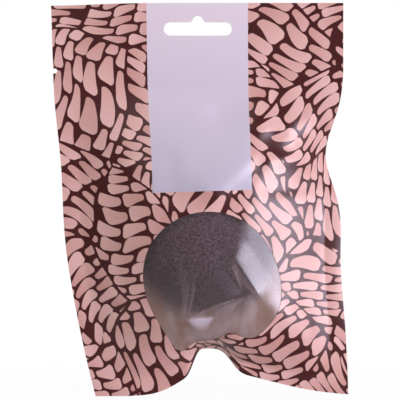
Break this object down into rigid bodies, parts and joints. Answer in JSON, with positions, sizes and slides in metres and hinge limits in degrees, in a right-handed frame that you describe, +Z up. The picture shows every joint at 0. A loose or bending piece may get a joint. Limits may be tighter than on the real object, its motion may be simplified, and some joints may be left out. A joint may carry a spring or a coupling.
{
  "type": "konjac sponge in a hanging film pouch",
  "caption": "Dark domed cleansing sponge sealed in a flat printed film pouch with a hanging slot, a tear-off top strip and a round clear window.",
  "frame": {"origin": "centre of the straight part of the hanging slot, midway between the two walls of the pouch", "axes": "+Z up along the pouch as it hangs, +X to the right seen from the printed front, front towards -Y"},
  "size_m": [0.1389, 0.0339, 0.185],
  "materials": {
    "printed_film": "matt laminate film, printed salmon pink on dark maroon",
    "clear_film": "clear sealing film with a soft haze",
    "charcoal_sponge": "dry fine-pored plant-fibre foam, charcoal grey"
  },
  "bodies": {
    "pouch": {"front_printed_film": "printed_film", "front_clear_film": "clear_film", "back_clear_film": "clear_film", "back_printed_film": "printed_film"},
    "tear_strip": {"strip_front_printed": "printed_film", "strip_front_clear": "clear_film", "strip_back_clear": "clear_film", "strip_back_printed": "printed_film"},
    "sponge": {"konjac_sponge": "charcoal_sponge"}
  },
  "joints": [
    {"name": "tear_open", "type": "hinge", "parent": "pouch", "child": "tear_strip", "pos_m": [0.06825, 0, -0.0198], "axis": [0, 1, 0], "range_deg": [0, 100]},
    {"name": "sponge_shift", "type": "slide", "parent": "pouch", "child": "sponge", "axis": [0, 0, 1], "range_m": [0, 0.006]}
  ]
}
